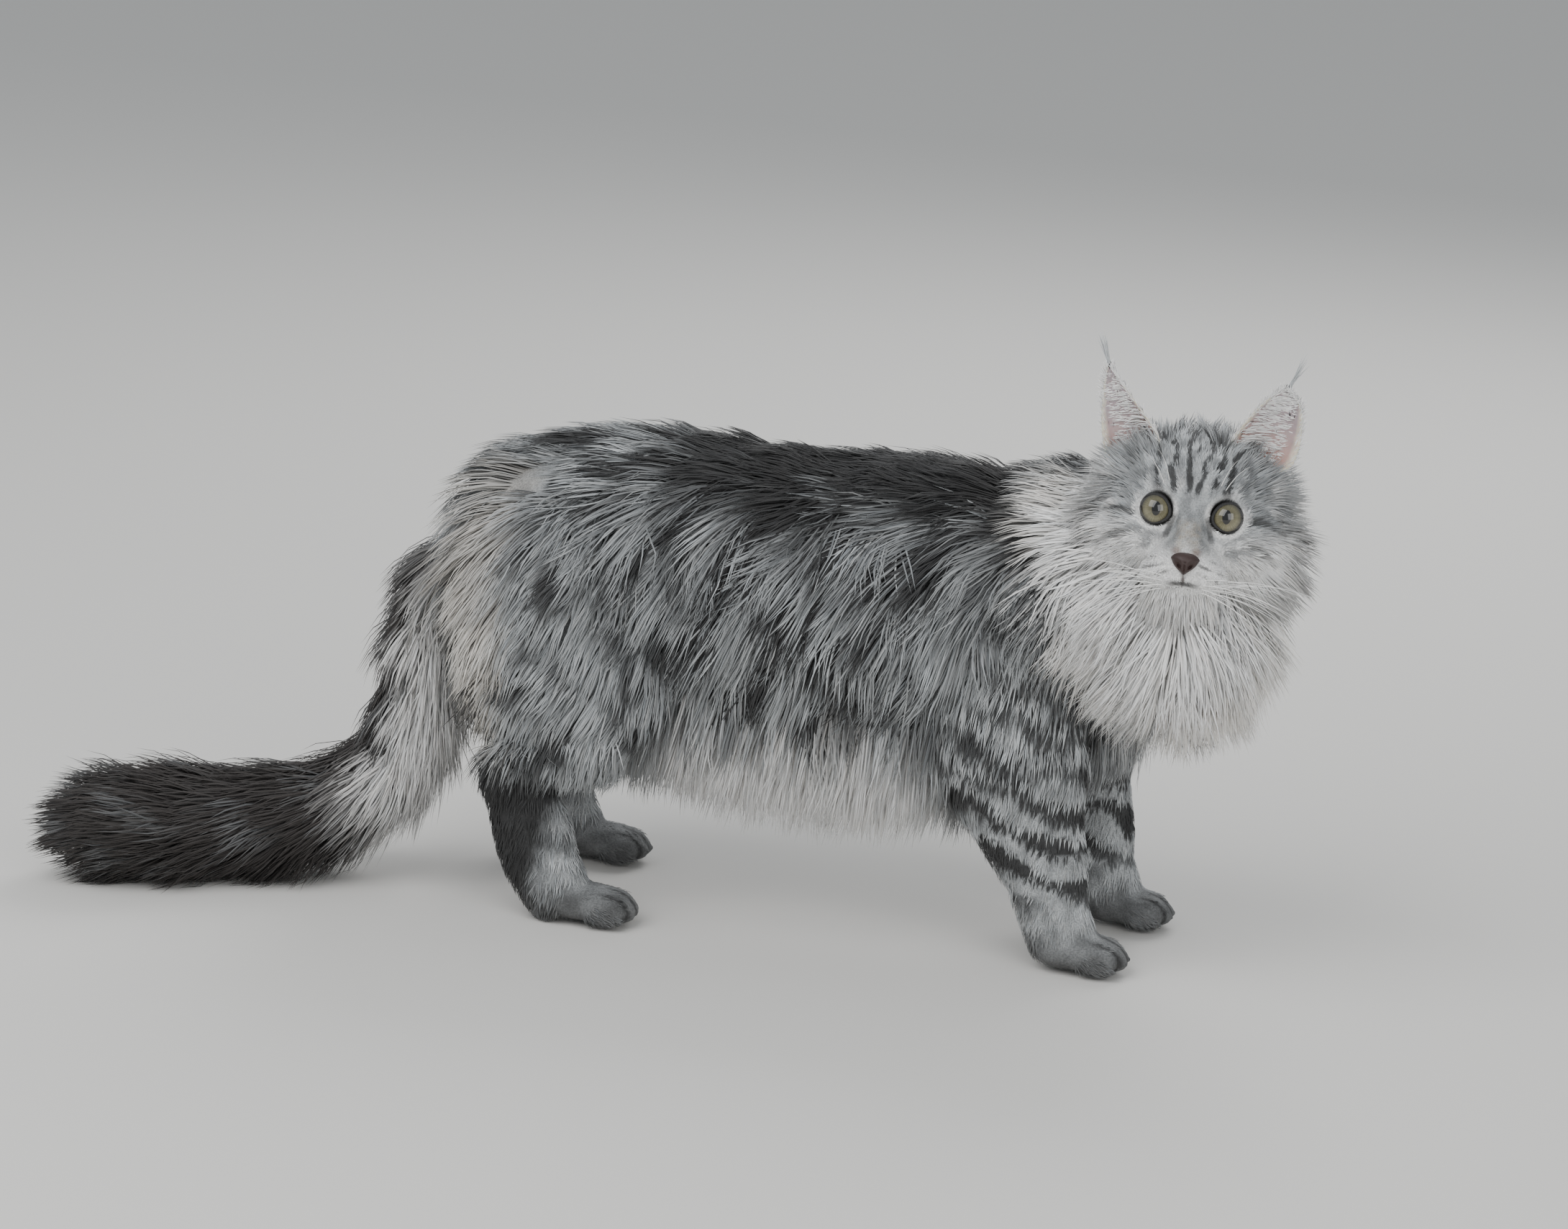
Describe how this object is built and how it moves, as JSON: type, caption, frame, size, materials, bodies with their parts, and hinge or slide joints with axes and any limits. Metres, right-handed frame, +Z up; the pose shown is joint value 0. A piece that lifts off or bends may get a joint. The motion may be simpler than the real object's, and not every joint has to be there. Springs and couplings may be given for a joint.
{
  "type": "maine coon cat",
  "caption": "Life-size standing long-haired cat, still, head turned to look over its right shoulder, tail laid back along the floor.",
  "frame": {"origin": "on the floor under the middle of the whole figure, tail and head included", "axes": "+X forward along the body, +Y towards the cat's left, +Z up"},
  "size_m": [0.7785, 0.2422, 0.3932],
  "materials": {
    "silver_coat": "long soft silver tabby hair, darker bands along the back and broken rows of spots on the sides",
    "white_coat": "long white hair of the ruff and chest",
    "dark_coat": "charcoal hair of the tail and the paws",
    "ear": "thin pink skin with short hair outside and long pale hair inside",
    "eye": "olive amber iris under a clear wet surface",
    "nose_leather": "dark brown, finely pebbled, slightly moist"
  },
  "bodies": {
    "root": {"torso": "silver_coat", "neck": "white_coat", "head": "silver_coat", "nose": "nose_leather", "eye_left": "eye", "eye_right": "eye", "ear_left": "ear", "ear_right": "ear", "foreleg_left": "silver_coat", "foreleg_right": "silver_coat", "forepaw_left": "dark_coat", "forepaw_right": "dark_coat", "hindleg_left": "silver_coat", "hindleg_right": "silver_coat", "hindpaw_left": "dark_coat", "hindpaw_right": "dark_coat", "tail_root": "silver_coat", "tail_middle": "dark_coat", "tail_tip": "dark_coat"}
  },
  "joints": []
}
